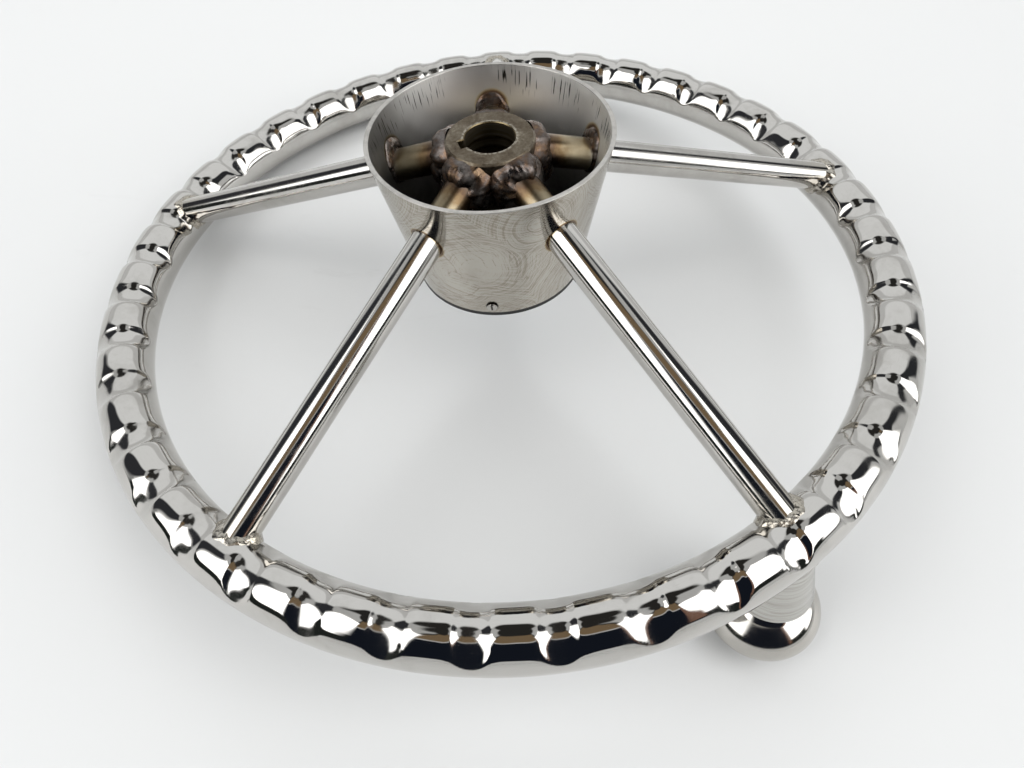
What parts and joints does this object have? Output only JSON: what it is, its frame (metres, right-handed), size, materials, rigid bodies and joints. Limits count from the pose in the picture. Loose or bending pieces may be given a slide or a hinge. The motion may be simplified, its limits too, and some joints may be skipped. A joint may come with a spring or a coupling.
{
  "type": "boat steering wheel",
  "caption": "Stainless five-spoke boat steering wheel with a finger-grip rim, a dished tapered hub around a keyed shaft boss, and a spinner knob on a spindle.",
  "frame": {"origin": "centre of the boss's helm-side face, at the mouth of the shaft bore", "axes": "+Z along the shaft bore towards the helm, away from the driver; +Y towards spoke_1, seen along the wheel's plane"},
  "size_m": [0.343, 0.343, 0.1376],
  "materials": {
    "polished_steel": "mirror polished stainless steel",
    "brushed_steel": "polished outside, satin inside, stainless steel",
    "turned_steel": "turned stainless steel, dull",
    "bright_weld": "rough bright weld bead",
    "tinted_weld": "heat-tinted weld bead, brown and violet",
    "black_plastic": "black moulded plastic",
    "bronze": "bearing bronze"
  },
  "bodies": {
    "wheel": {"rim": "polished_steel", "hub_boss": "turned_steel", "hub_cone": "brushed_steel", "centre_cap": "black_plastic", "spoke_1": "polished_steel", "spoke_2": "polished_steel", "spoke_3": "polished_steel", "spoke_4": "polished_steel", "spoke_5": "polished_steel", "cap_screw_1": "turned_steel", "cap_screw_2": "turned_steel", "cap_screw_3": "turned_steel", "knob_spindle": "polished_steel", "knob_washer": "turned_steel", "knob_screw": "turned_steel", "boss_welds": "tinted_weld", "wall_welds": "tinted_weld", "rim_welds": "bright_weld", "knob_weld": "bright_weld"},
    "knob": {"knob_body": "polished_steel", "knob_bush": "bronze"}
  },
  "joints": [
    {"name": "knob_spin", "type": "hinge", "parent": "wheel", "child": "knob", "pos_m": [0.09315, -0.13058, -0.12], "axis": [0, 0, 1], "continuous": true}
  ]
}
